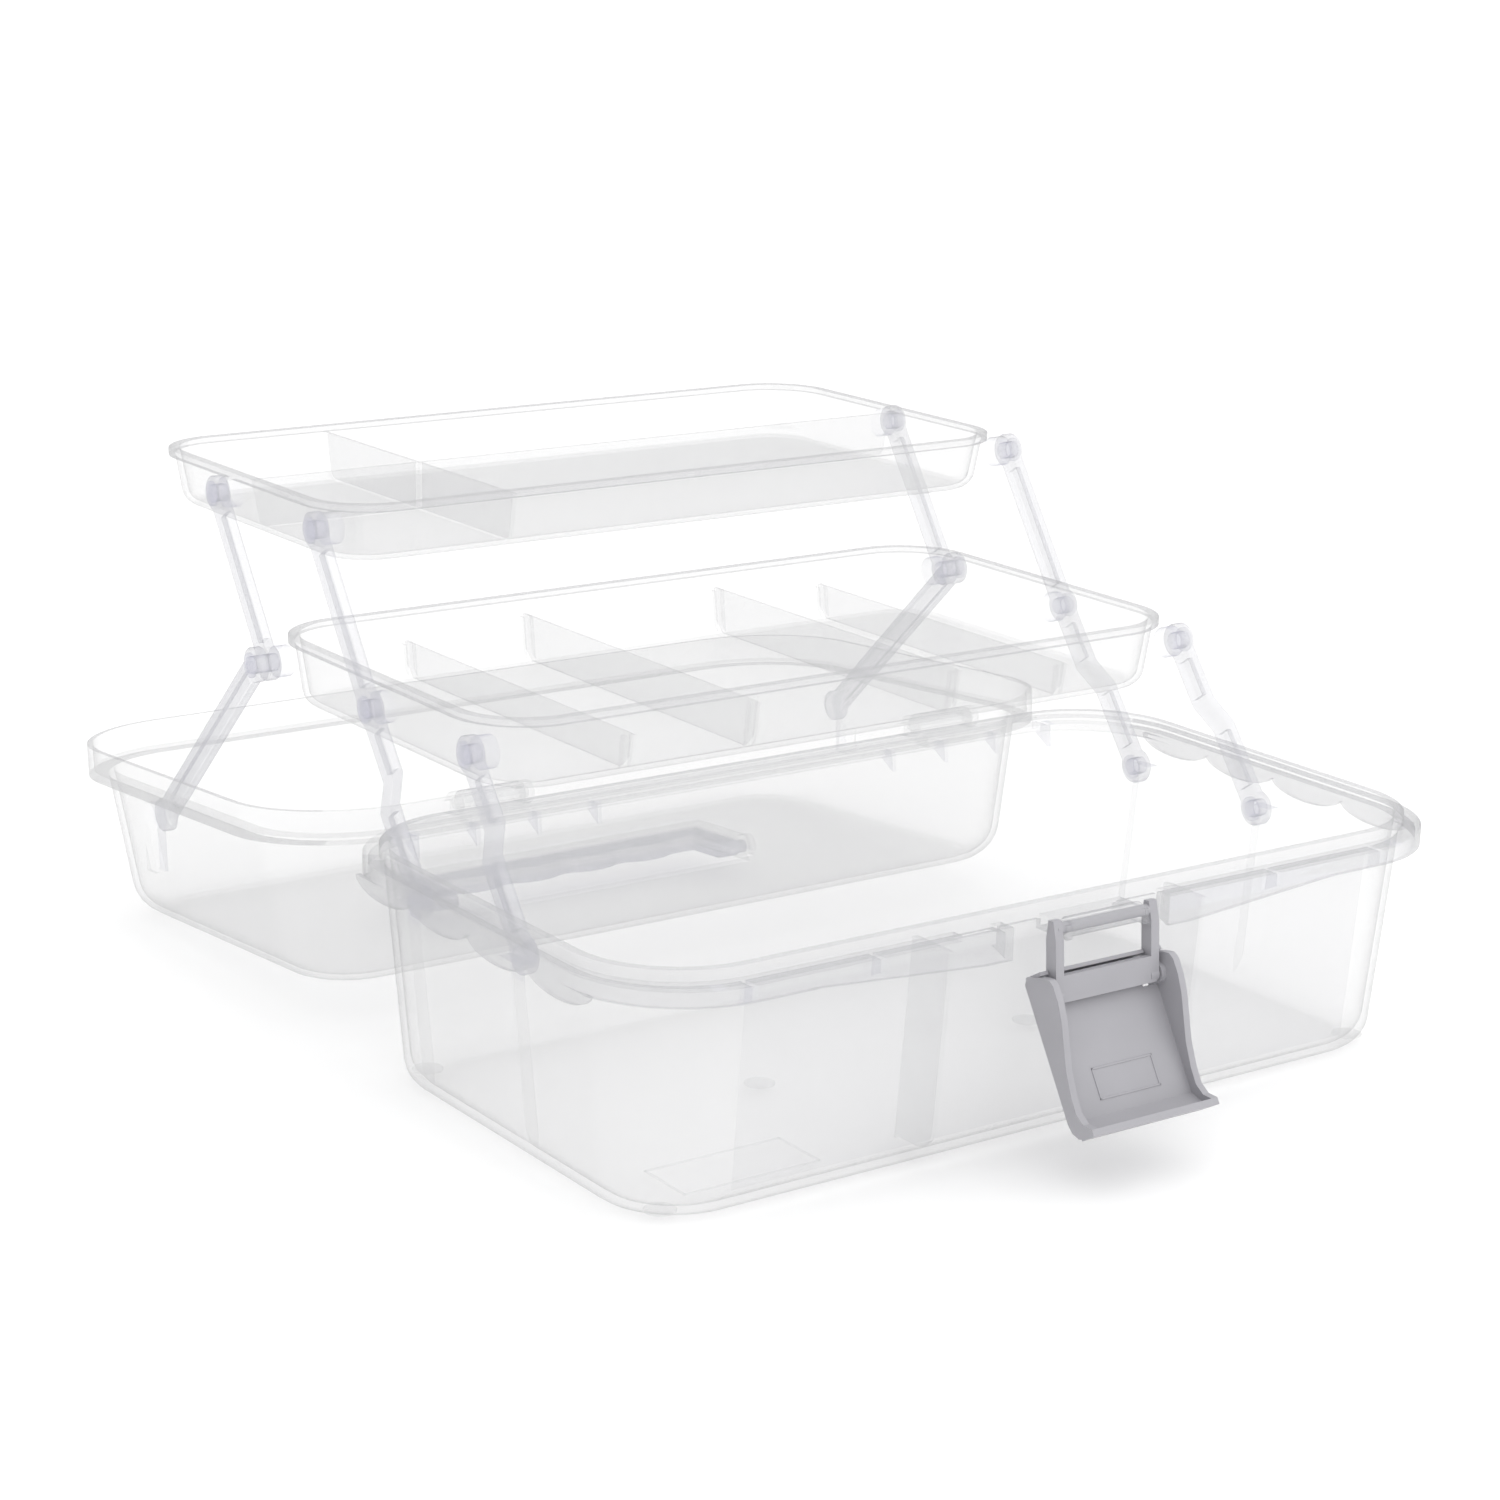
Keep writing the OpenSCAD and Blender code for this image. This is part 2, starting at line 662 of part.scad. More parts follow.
module main_arm() color(tinted_pp) {
  stepped_arm(tray_mid, base_rear);
  straight_arm(tray_mid, top_front, inner_run);
  eye(top_front, inner_run);
}

module front_arm() color(tinted_pp) stepped_arm(tray_front, base_front);

module upper_rear_arm() color(tinted_pp) {
  straight_arm(tray_rear, top_rear, inner_run);
  eye(tray_rear, inner_run);
  eye(top_rear, inner_run);
}

module lid_arm() color(tinted_pp) {
  straight_arm(tray_rear, lid_eye, outer_run);
  eye(tray_rear, outer_run);
  disc(lid_eye, eye_r, outer_run, outer_run + arm_t);
  disc(lid_eye, head_r, outer_run - head_t, outer_run + 1);
}

module main_arm_left() on_side(-1) main_arm();
module main_arm_right() on_side(1) main_arm();
module front_arm_left() on_side(-1) front_arm();
module front_arm_right() on_side(1) front_arm();
module upper_rear_arm_left() on_side(-1) upper_rear_arm();
module upper_rear_arm_right() on_side(1) upper_rear_arm();
module lid_arm_left() on_side(-1) lid_arm();
module lid_arm_right() on_side(1) lid_arm();
module divider_1() divider(0);
module divider_2() divider(1);
module divider_3() divider(2);
module divider_4() divider(3);

// ---- latch ------------------------------------------------------------------

module latch_frame() color(grey_pp) {
  half = frame_w / 2;
  w = frame_arm_w;
  lean = atan2(latch_axle[0] - lever_axle[0], frame_drop);
  both_sides() {
    along_x(half - frame_arm_t, half) translate(lever_axle) rotate(-lean) union() {
      circle(w / 2 + 0.3);
      translate([-w / 2, 0]) square([w, frame_drop - 3]);
      translate([0, frame_drop]) polygon([[-w / 2, -3.2], [w / 2, -3.2], [w / 4, 2.9], [-w / 4, 2.9]]);
    }
    disc(lever_axle, axle_r, half - 1, lever_w / 2 - 1.2);
  }
  disc(latch_axle, axle_r, -half + frame_arm_t / 2, half - frame_arm_t / 2);
  along_x(-half + 1, half - 1) translate(lever_axle) rotate(-lean)
    translate([-w / 2, 0.2 - w / 2]) square([frame_bar_t, frame_bar_h]);
}

// plate, side walls, hook and lip of the lever, with [0, 0] on its axle and -Z to its lip
module lever_body() {
  half = lever_w / 2;
  plate = 2.2;
  side = 2.4;
  back = 4.9;
  top = 7.6;
  lip_reach = 5.5;
  arm_in = frame_w / 2 - frame_arm_t - side_fit;
  arm_out = frame_w / 2 + side_fit;
  difference() {
    union() {
      // plate behind the axle
      along_x(-half + 1, half - 1) translate([back - plate, 3 - lever_len]) square([plate, lever_len - 3 + top]);
      along_x(-half + 1, half - 1) polygon([[back, 6 - lever_len], [back - 0.8, 3 - lever_len], [back - 3, 0.8 - lever_len],
        [back - 6, -lever_len], [back - 6, plate - lever_len], [back - plate, 6 - lever_len]]);
      // side walls, deep at the axle, shallow below and rounded into the lip
      both_sides() along_x(half - side, half) polygon([
        [back - 2, top], [back, top - 2], [back, 6 - lever_len], [back - 0.8, 3 - lever_len],
        [back - 3, 0.8 - lever_len], [back - 6, -lever_len], [-lip_reach, -lever_len], [-lip_reach, plate - lever_len],
        [-0.28 * lever_wall, plate + 2 - lever_len], [-0.06 * lever_wall, -0.82 * lever_len], [-0.08 * lever_wall, -0.7 * lever_len],
        [-0.25 * lever_wall, -0.52 * lever_len], [-0.55 * lever_wall, -0.36 * lever_len], [-0.86 * lever_wall, -0.2 * lever_len],
        [-lever_wall, -0.07 * lever_len], [-lever_wall, 2], [1 - lever_wall, 4], [3.4 - lever_wall, top - 2.4]]);
      // hook that bites on the lid's shelf
      along_x(-half + 1, half - 1)
        polygon([[back, top], [-2.6, top], [-2.6, top - 1.2], [back - plate, top - 1.7]]);
      // ears round the frame's pins
      both_sides() along_x(arm_out, half - 1) union() {
        circle(3.3);
        translate([0, -3.3]) square([back - 0.5, 6.6]);
      }
      // lip to pull at, with two pockets
      along_x(-half + 1, half - 1) translate([-lip_reach, -lever_len]) square([back - 3 + lip_reach, plate]);
    }
    disc([0, 0], axle_r + pin_fit, -half + 1, half - 1);
    // room for the frame's two arms
    both_sides() along_x(arm_in, arm_out) translate([-12, -3.1]) square([13 + back, 20]);
    for (x = [-0.35, 0.35] * lever_w) along_x(x - 4.8, x + 4.8)
      translate([1.3 - lip_reach, 1 - lever_len]) square([3.2, plate]);
  }
}

module latch_lever() color(grey_pp)
  translate([0, lever_axle[0], lever_axle[1]]) rotate([-lever_lean, 0, 0]) lever_body();

// ---- handle -----------------------------------------------------------------

module carry_handle() color(tinted_pp) lid_pose() {
  half = recess_l / 2 - 1;
  arm = 8;
  bump_r = 19;
  bar_y = handle_y - grip_reach - grip_w / 2;
  both_sides() {
    disc([handle_y, handle_z], grip_t / 2, half - arm, half);
    disc([handle_y, handle_z], handle_pin_r, half - 1, half + 4);
    translate([half - arm, handle_y - grip_reach, handle_z - grip_t / 2]) cube([arm, grip_reach, grip_t]);
  }
  // grip with finger bumps on its inner edge
  translate([-half, bar_y, handle_z - grip_t / 2]) cube([2 * half, grip_w, grip_t]);
  for (i = [-1.5 : 1 : 1.5])
    intersection() {
      translate([i * bump_pitch, bar_y + grip_w + 3 - bump_r, handle_z - grip_t / 2])
        cylinder(r = bump_r, h = grip_t, $fn = 96);
      translate([(i - 0.5) * bump_pitch, bar_y + grip_w / 2, handle_z - grip_t / 2])
        cube([bump_pitch, grip_w, grip_t]);
    }
}

base_shell();
lid_shell();
lower_tray();
upper_tray();
divider_1();
divider_2();
divider_3();
divider_4();
main_arm_left();
main_arm_right();
front_arm_left();
front_arm_right();
upper_rear_arm_left();
upper_rear_arm_right();
lid_arm_left();
lid_arm_right();
latch_frame();
latch_lever();
carry_handle();
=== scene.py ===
import bpy, bmesh, math
from mathutils import Matrix, Vector


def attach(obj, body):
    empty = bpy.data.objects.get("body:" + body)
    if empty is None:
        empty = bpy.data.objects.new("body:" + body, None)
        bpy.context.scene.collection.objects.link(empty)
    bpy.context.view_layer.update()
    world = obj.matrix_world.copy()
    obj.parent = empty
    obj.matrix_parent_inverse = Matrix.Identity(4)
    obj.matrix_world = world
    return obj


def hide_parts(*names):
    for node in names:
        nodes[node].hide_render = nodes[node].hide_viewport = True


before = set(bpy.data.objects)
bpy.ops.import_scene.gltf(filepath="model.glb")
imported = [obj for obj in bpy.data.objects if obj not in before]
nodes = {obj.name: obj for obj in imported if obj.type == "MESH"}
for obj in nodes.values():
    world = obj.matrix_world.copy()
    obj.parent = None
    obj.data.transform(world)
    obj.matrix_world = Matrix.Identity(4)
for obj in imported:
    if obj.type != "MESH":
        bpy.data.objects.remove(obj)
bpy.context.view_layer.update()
print("frame loaded,", len(nodes), "nodes")


# fineness of the meshes: angles in degrees, lengths in mm
fineness = {"cornerSegments": 14, "footSteps": 6, "smoothAngle": 35, "normalWeight": 90,
            "merge": 0.004, "flatAngle": 0.6, "noInset": 1e-6}


def mm(*values):
    out = [v * 0.001 for v in values]
    return out[0] if len(out) == 1 else Vector(out)


def toLinear(hexText):
    parts = [int(hexText[i:i + 2], 16) / 255 for i in (0, 2, 4)]
    return [p / 12.92 if p <= 0.04045 else ((p + 0.055) / 1.055) ** 2.4 for p in parts] + [1.0]


def addNode(tree, kind, settings=None, inputs=None, links=None):
    node = tree.nodes.new(kind)
    for key, value in (settings or {}).items():
        setattr(node, key, value)
    for key, value in (inputs or {}).items():
        node.inputs[key].default_value = value
    for key, socket in (links or {}).items():
        tree.links.new(socket, node.inputs[key])
    return node


def deselectAll():
    if bpy.context.mode != "OBJECT":
        bpy.ops.object.mode_set(mode="OBJECT")
    bpy.ops.object.select_all(action="DESELECT")


def activate(obj):
    deselectAll()
    obj.select_set(True)
    bpy.context.view_layer.objects.active = obj


def pick(obj, test, kind="faces"):
    # in edit mode: selects the faces or edges whose middle (mm) and normal or direction pass the test
    bpy.ops.mesh.select_all(action="DESELECT")
    bpy.ops.mesh.select_mode(type="FACE" if kind == "faces" else "EDGE")
    bm = bmesh.from_edit_mesh(obj.data)
    for item in getattr(bm, kind):
        if kind == "faces":
            item.select_set(bool(test(item.calc_center_median() * 1000, item.normal)))
        else:
            a, b = item.verts
            item.select_set(bool(test((a.co + b.co) * 500, (b.co - a.co).normalized())))
    bmesh.update_edit_mesh(obj.data)


def facesUp(c, n):
    return n.z > 0.9


def facesDown(c, n):
    return n.z < -0.9


def block(name, size, centre):
    deselectAll()
    bpy.ops.mesh.primitive_cube_add(size=1, location=mm(*centre))
    obj = bpy.context.active_object
    obj.name = name
    obj.scale = mm(*size)
    bpy.ops.object.transform_apply(location=True, rotation=True, scale=True)
    return obj


def soften(obj, width, segments=2, angle=40):
    activate(obj)
    mod = obj.modifiers.new("edge", "BEVEL")
    mod.width = mm(width)
    mod.segments = segments
    mod.limit_method = "ANGLE"
    mod.angle_limit = math.radians(angle)
    bpy.ops.object.modifier_apply(modifier=mod.name)


def box(name, lo, hi, edge=0):
    obj = block(name, [b - a for a, b in zip(lo, hi)], [(a + b) / 2 for a, b in zip(lo, hi)])
    if edge:
        soften(obj, edge)
    return obj


def drum(name, radius, length, centre, axis="X", sides=40, edge=0.35):
    # short cylinder with softened rims
    deselectAll()
    turn = {"X": (0, math.pi / 2, 0), "Z": (0, 0, 0)}[axis]
    bpy.ops.mesh.primitive_cylinder_add(vertices=sides, radius=mm(radius), depth=mm(length),
                                        location=mm(*centre), rotation=turn)
    obj = bpy.context.active_object
    obj.name = name
    bpy.ops.object.transform_apply(location=True, rotation=True, scale=True)
    if edge:
        soften(obj, edge)
    return obj


def panel(name, points, push):
    # flat sheet cut to an outline of (x, y, z) points and given its thickness
    deselectAll()
    bpy.ops.mesh.primitive_circle_add(vertices=len(points), radius=0.01, fill_type="NGON", location=(0, 0, 0))
    obj = bpy.context.active_object
    obj.name = name
    for vert, point in zip(obj.data.vertices, points):
        vert.co = mm(*point)
    bpy.ops.object.mode_set(mode="EDIT")
    bpy.ops.mesh.select_all(action="SELECT")
    bpy.ops.mesh.extrude_region_move(TRANSFORM_OT_translate={"value": tuple(mm(*push))})
    bpy.ops.mesh.select_all(action="SELECT")
    bpy.ops.mesh.normals_make_consistent(inside=False)
    bpy.ops.object.mode_set(mode="OBJECT")
    return obj


def sideSheet(name, outline, x0, x1):
    # outline of (y, z) points, thick along X
    return panel(name, [(x0, y, z) for y, z in outline], (x1 - x0, 0, 0))


def outlineStrips(x0, x1, y0, y1, line):
    # the four strips of a rectangular outline, each by its low and its high corner
    return [((x0, y0), (x1, y0 + line)), ((x0, y1 - line), (x1, y1)),
            ((x0, y0), (x0 + line, y1)), ((x1 - line, y0), (x1, y1))]


def copyOf(obj, name):
    twin = obj.copy()
    twin.data = obj.data.copy()
    twin.name = name
    bpy.context.collection.objects.link(twin)
    return twin


def mirrored(obj, name):
    twin = copyOf(obj, name)
    activate(twin)
    twin.scale = (-1, 1, 1)
    bpy.ops.object.transform_apply(location=True, rotation=True, scale=True)
    bpy.ops.object.mode_set(mode="EDIT")
    bpy.ops.mesh.select_all(action="SELECT")
    bpy.ops.mesh.normals_make_consistent(inside=False)
    bpy.ops.object.mode_set(mode="OBJECT")
    return twin


def bothSides(parts):
    return parts + [mirrored(part, part.name + "Twin") for part in parts]


def joinInto(obj, parts):
    deselectAll()
    for part in parts:
        part.select_set(True)
    obj.select_set(True)
    bpy.context.view_layer.objects.active = obj
    bpy.ops.object.join()
    return obj


def weld(obj, parts):
    # one moulding: the parts become one skin with the shell
    tool = joinInto(parts[0], parts[1:])
    activate(obj)
    mod = obj.modifiers.new("weld", "BOOLEAN")
    mod.operation = "UNION"
    mod.object = tool
    mod.solver = "EXACT"
    mod.use_self = True
    bpy.ops.object.modifier_apply(modifier=mod.name)
    bpy.data.objects.remove(tool)


def cutWith(obj, tools):
    for tool in tools:
        activate(obj)
        mod = obj.modifiers.new("cut", "BOOLEAN")
        mod.operation = "DIFFERENCE"
        mod.object = tool
        mod.solver = "EXACT"
        bpy.ops.object.modifier_apply(modifier=mod.name)
        bpy.data.objects.remove(tool)


def placeBy(obj, matrix):
    activate(obj)
    obj.matrix_world = matrix
    bpy.ops.object.transform_apply(location=True, rotation=True, scale=True)
    return obj


def turnAbout(y, z, angle):
    # turn about an axis along X through (y, z)
    there, turn = mm(0, y, z), Matrix.Rotation(-math.radians(angle), 4, "X")
    return Matrix.Translation(there) @ turn @ Matrix.Translation(-there)


def beyond(c, half, corner, middleY=0):
    # true outside a rounded rectangle seen from above, all in mm
    x = max(abs(c.x) - half[0] + corner, 0)
    y = max(abs(c.y - middleY) - half[1] + corner, 0)
    return math.hypot(x, y) > corner


def paint(obj, material, zonedFinishes=()):
    # the zoned finishes: pairs of a finish and a test on a face's middle (mm); the last test that passes
    # counts; the rim finish among them is partly painted shade
    obj.data.materials.clear()
    obj.data.materials.append(material)
    for index, (finish, test) in enumerate(zonedFinishes, 1):
        obj.data.materials.append(finish)
        for face in obj.data.polygons:
            if test(face.center * 1000):
                face.material_index = index


def finishPiece(obj, body, node, material=None):
    # smooth shading that keeps the large flats even; a shell comes here with its finishes on
    activate(obj)
    bpy.ops.object.shade_smooth_by_angle(angle=math.radians(fineness["smoothAngle"]))
    mod = obj.modifiers.new("evenShading", "WEIGHTED_NORMAL")
    mod.keep_sharp = True
    mod.weight = fineness["normalWeight"]
    bpy.ops.object.modifier_apply(modifier=mod.name)
    if material:
        paint(obj, material)
    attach(obj, body)
    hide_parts(node)


# colour and cover of the plastic seen square on and seen along it; both faces of a wall add up
clearSheet = {"face": "d9d9da", "edge": "747477", "cover": (0.076, 0.75), "rise": 5.0, "roughness": 0.14}
# rim and bead finish: more cover for the thicker plastic, and a darker colour that is painted shade, drawing
# the dark lines that light makes along the rounded rims
clearRimPaintedShade = {"face": "cbcbce", "edge": "6c6c70", "cover": (0.19, 0.85), "rise": 3.2, "roughness": 0.14}
clearDivider = {"face": "cdcdcf", "edge": "747477", "cover": (0.11, 0.85), "rise": 4.5, "roughness": 0.16}
clearArm = {"face": "cfcfd6", "edge": "7a7a84", "cover": (0.17, 0.88), "rise": 2.8, "roughness": 0.16}
clearBoss = {"face": "cacada", "edge": "8484a0", "cover": (0.1, 0.75), "rise": 3.0, "roughness": 0.16}
clearGrip = {"face": "c0c0ce", "edge": "74748a", "cover": (0.2, 0.85), "rise": 2.5, "roughness": 0.18}
meltFlow = {"ior": 1.49, "waveMm": 45.45, "strength": 0.03, "deepMm": 0.4}
greyMould = {"base": "a3a2a7", "fleck": "acabb0", "roughness": 0.42, "ior": 1.5,
             "cloudMm": 16.67, "grainMm": 0.9, "strength": 0.12, "deepMm": 0.1}


def newMaterial(name):
    mat = bpy.data.materials.new(name)
    mat.use_nodes = True
    mat.node_tree.nodes.clear()
    return mat, mat.node_tree


def noiseOf(tree, place, sizeMm, detail):
    return addNode(tree, "ShaderNodeTexNoise", inputs={"Scale": 1000 / sizeMm, "Detail": detail},
                   links={"Vector": place.outputs["Object"]})


def bumpOf(tree, noise, look):
    return addNode(tree, "ShaderNodeBump",
                   inputs={"Strength": look["strength"], "Distance": mm(look["deepMm"])},
                   links={"Height": noise.outputs["Fac"]})


def tintBetween(tree, factor, first, second):
    tint = addNode(tree, "ShaderNodeMix", {"data_type": "RGBA"}, links={"Factor": factor})
    tint.inputs[6].default_value = toLinear(first)
    tint.inputs[7].default_value = toLinear(second)
    return tint.outputs[2]


def polypropyleneSheet(name, look):
    # polypropylene, injection moulded without pigment: milky where it is thin, darker seen along the wall
    mat, tree = newMaterial(name)
    facing = addNode(tree, "ShaderNodeLayerWeight", inputs={"Blend": 0.5})
    graze = addNode(tree, "ShaderNodeMath", {"operation": "POWER"}, {1: look["rise"]},
                    {0: facing.outputs["Facing"]})
    low, high = look["cover"]
    alpha = addNode(tree, "ShaderNodeMapRange", inputs={"To Min": low, "To Max": high},
                    links={"Value": graze.outputs["Value"]})
    tint = tintBetween(tree, graze.outputs["Value"], look["face"], look["edge"])
    # the melt's flow leaves long, very shallow waves
    flow = noiseOf(tree, addNode(tree, "ShaderNodeTexCoord"), meltFlow["waveMm"], 1.0)
    bump = bumpOf(tree, flow, meltFlow)
    shell = addNode(tree, "ShaderNodeBsdfPrincipled",
                    inputs={"Roughness": look["roughness"], "IOR": meltFlow["ior"]},
                    links={"Base Color": tint, "Alpha": alpha.outputs["Result"],
                           "Normal": bump.outputs["Normal"]})
    addNode(tree, "ShaderNodeOutputMaterial", links={"Surface": shell.outputs["BSDF"]})
    return mat


def greyPolypropylene(name, look):
    # pigmented polypropylene, moulded with a fine satin grain, drawn coarse enough to show
    mat, tree = newMaterial(name)
    place = addNode(tree, "ShaderNodeTexCoord")
    grain = noiseOf(tree, place, look["grainMm"], 3.0)
    cloud = noiseOf(tree, place, look["cloudMm"], 2.0)
    tint = tintBetween(tree, cloud.outputs["Fac"], look["base"], look["fleck"])
    bump = bumpOf(tree, grain, look)
    shell = addNode(tree, "ShaderNodeBsdfPrincipled",
                    inputs={"Roughness": look["roughness"], "IOR": look["ior"]},
                    links={"Base Color": tint, "Normal": bump.outputs["Normal"]})
    addNode(tree, "ShaderNodeOutputMaterial", links={"Surface": shell.outputs["BSDF"]})
    return mat


sheetPp = polypropyleneSheet("clearPolypropyleneMoulded", clearSheet)
rimShadePp = polypropyleneSheet("clearPolypropyleneRimPaintedShade", clearRimPaintedShade)
dividerPp = polypropyleneSheet("clearPolypropyleneDivider", clearDivider)
armPp = polypropyleneSheet("clearPolypropyleneArm", clearArm)
bossPp = polypropyleneSheet("clearPolypropyleneBoss", clearBoss)
gripPp = polypropyleneSheet("clearPolypropyleneGrip", clearGrip)
latchPp = greyPolypropylene("greyPolypropyleneMoulded", greyMould)
print("finishes made")


def roundedSlab(name, size, centre, corner):
    # block with rounded uprights
    obj = block(name, size, centre)
    bpy.ops.object.mode_set(mode="EDIT")
    pick(obj, lambda c, d: abs(d.z) > 0.9, "edges")
    bpy.ops.mesh.bevel(offset=mm(corner), offset_type="OFFSET", segments=fineness["cornerSegments"],
                       affect="EDGES")
    return obj


def insetStep(inset, rise):
    if abs(inset) < fineness["noInset"]:
        bpy.ops.mesh.extrude_region_move(
            TRANSFORM_OT_translate={"value": (0, 0, mm(rise)), "orient_type": "NORMAL"})
    else:
        bpy.ops.mesh.inset(thickness=mm(inset), depth=mm(rise), use_even_offset=True, use_boundary=True)


def footSteps(radius):
    # increments of inset and depth round a quarter circle
    out, last = [], (0.0, 0.0)
    for k in range(1, fineness["footSteps"] + 1):
        a = math.pi / 2 * k / fineness["footSteps"]
        now = (radius * (1 - math.cos(a)), radius * math.sin(a))
        out.append((now[0] - last[0], now[1] - last[1]))
        last = now
    return out


def hollow(depth, draft, foot, side):
    # walls run away from the picked face, leaning in by draft, with a rounded foot; side -1 digs, +1 builds
    straight = depth - foot
    insetStep(draft * straight / depth, side * straight)
    for inset, rise in footSteps(foot):
        insetStep(inset + draft * rise / depth, side * rise)


# the pivots' pins along X, from the trays outwards: inner and outer run of the arms, their thickness and play
run = {"inner": 142.4, "outer": 147.0, "arm": 3.6, "gap": 0.4, "pin": 3, "boss": 5.4, "bossEdge": 0.5,
       "head": 4.3, "headThick": 0.7, "dimple": ((0.35, -0.12), (1.6, 0), (0.5, -0.4))}


def pivot(y, z, x0, face, reach):
    # boss from x0 to its face, pin, and a head with a dimple
    side = 1 if reach > face else -1
    boss = drum("boss", run["boss"], face - x0, ((x0 + face) / 2, y, z), edge=run["bossEdge"])
    pin = drum("pin", run["pin"], abs(reach - face) + 1, ((reach + face) / 2, y, z), sides=32, edge=0)
    head = drum("head", run["head"], run["headThick"], (reach + side * run["headThick"] / 2, y, z),
                sides=32, edge=0)
    bpy.ops.object.mode_set(mode="EDIT")
    pick(head, lambda c, n: n.x * side > 0.9)
    for inset, rise in run["dimple"]:
        bpy.ops.mesh.inset(thickness=mm(inset), depth=mm(rise))
    bpy.ops.object.mode_set(mode="OBJECT")
    return boss, joinInto(pin, [head])


def nearPivot(c, places, radius):
    return any(math.hypot(c.y - y, c.z - z) < radius for y, z in places)


baseShape = {"opening": (314, 170), "height": 81, "draft": 7, "corner": 32, "foot": 9, "wall": 2, "lip": 3,
             "ledgeDrop": 3.5, "ledge": (7.5, 9.5), "ledgeThick": 1.8, "skirt": 6}


def makeBase():
    s = baseShape
    w, d = s["opening"]
    thick = s["ledgeThick"]
    ledgeZ = s["height"] - s["ledgeDrop"]
    ow, od = w + 2 * s["ledge"][0], d + 2 * s["ledge"][1]
    obj = roundedSlab("baseTub", (ow, od, s["skirt"]), (0, 0, ledgeZ - s["skirt"] / 2),
                      s["corner"] + s["ledge"][1])
    # upper side: ledge, lip, then down the inside of the walls
    pick(obj, facesUp)
    step = s["ledge"][0] - s["lip"]
    insetStep(step, 0)
    stretch = (d + 2 * s["lip"]) / (od - 2 * step)
    bpy.ops.transform.resize(value=(1, stretch, 1), center_override=(0, 0, mm(ledgeZ)))
    insetStep(0, s["ledgeDrop"])
    insetStep(s["lip"], 0)
    hollow(s["height"] - s["wall"], s["draft"], s["foot"], -1)
    # under side: skirt, ledge from below, outer walls and foot
    pick(obj, facesDown)
    insetStep(thick, 0)
    insetStep(0, -(s["skirt"] - thick))
    under = ledgeZ - thick
    lean = s["wall"] - s["draft"] * (1 - under / s["height"])
    inset = ow / 2 - thick - (w / 2 + lean)
    insetStep(inset, 0)
    stretch = (d / 2 + lean) / (od / 2 - thick - inset)
    bpy.ops.transform.resize(value=(1, stretch, 1), center_override=(0, 0, mm(under)))
    hollow(under, s["draft"] * under / s["height"], s["foot"], 1)
    bpy.ops.object.mode_set(mode="OBJECT")
    return obj


def insideHalf(size, z):
    # inside half width of the base at a height over the floor
    return size / 2 - baseShape["draft"] * (1 - z / baseShape["height"])


# mm; outlines are (y, z) points, and pairs of corners are the low and the high one
baseParts = {
    "latchGap": ((-31, -108, 50), (31, -88, 100)), "slot": ((-49, -92.7, 72.5), (-35, -88, 80)),
    "pivots": ((55, 65), (-8, 65)),
    "column": {"half": 4, "deep": 4.84, "rise": 7.4, "foot": (9, 2.5), "toe": 1.5, "sink": 1,
               "bossSink": 1.6},
    "wave": {"pitch": 34, "half": 17, "top": 72.5, "drop": 5.3, "x": (162.7, 164.5), "steps": 12},
    "gussetsBack": (132.5, 109, 85.5, 62), "gussetsFront": (78.5, 124),
    "gusset": {"root": 77.5, "top": 76.5, "reach": 94, "lip": 72.5, "foot": 67.5, "half": 0.8, "sink": 1},
    "frontSkirt": {"outline": ((31, 76.5), (31, 67), (41, 67), (102, 71.6), (102, 76.5)),
                   "y": -92.7, "thick": 1.8},
    "rimEnd": {"outline": ((-85.2, 70), (-85.2, 76.5), (-93.5, 76.5), (-93.5, 67.1)), "x": (31, 32.6)},
    "knuckle": (4, 23.2, (95, 102.2, 78.5)), "knuckleShelf": ((83.4, 93.5, 71.6), (106.6, 102.2, 76.4)),
    "fins": (-46, 55),
    "fin": {"top": 69.5, "foot": 9, "floor": ((-71, 1), (-60, 1)), "reach": 18, "half": 0.9, "sink": 1},
    "clipBarrel": (3.2, 29, (0, -99, 76)), "clipShelf": ((-14.4, -99, 72.9), (14.4, -85.6, 77.1)),
    "hoodPost": ((13.9, -101.6, 72.6), (16.2, -87, 77.2)), "hoodBar": ((-16, -96.4, 75.2), (16, -86, 77.4)),
    "pads": ((139, 68), (139, -68), (55.6, 0)), "pad": (5, 0.6, 2.25), "padEdge": 0.2,
    "blank": {"field": (-127, -77, -63, -41), "line": 0.7, "z": (1.9, 2.4), "edge": 0.15},
    "edge": 0.4}

# where each finish of the base begins and ends, in mm; the rim's zone carries painted shade
baseZones = {"fin": (-60, 2.2, 1.2), "rimFrom": 66, "rearRimFrom": 79, "rear": 70,
             "rimOutside": (156.6, 84.6), "boss": (140, 0.4, 6.5), "gusset": (84, 67, 76.4, 1),
             "clip": (34, -88)}


def gusset(x, face):
    g, d = baseParts["gusset"], baseShape["opening"][1]
    deep = insideHalf(d, g["root"]) + g["sink"]
    foot = insideHalf(d, g["foot"]) + g["sink"]
    outline = [(face * deep, g["top"]), (face * g["reach"], g["top"]), (face * g["reach"], g["lip"]),
               (face * foot, g["foot"])]
    return sideSheet("gusset", outline, x - g["half"], x + g["half"])


def innerPivot(y, z):
    # pin that faces the tray, and the column that carries it down the end wall
    w, k = baseShape["opening"][0], baseParts["column"]
    face = run["outer"] + run["arm"] + run["gap"]
    wall = insideHalf(w, z) + k["sink"]
    boss, pin = pivot(y, z, insideHalf(w, z) + k["bossSink"], face, run["outer"] - run["gap"] / 2)
    low = face - k["deep"]
    bend, floor = k["foot"]
    front = y - k["half"]
    bent = insideHalf(w, bend) + k["sink"]
    column = panel("column", [(face, front, z), (wall, front, z), (bent, front, bend),
                              (low + k["toe"], front, floor), (low, front, floor), (low, front, bend),
                              (face, front, z - k["rise"])], (0, 2 * k["half"], 0))
    return boss, column, pin


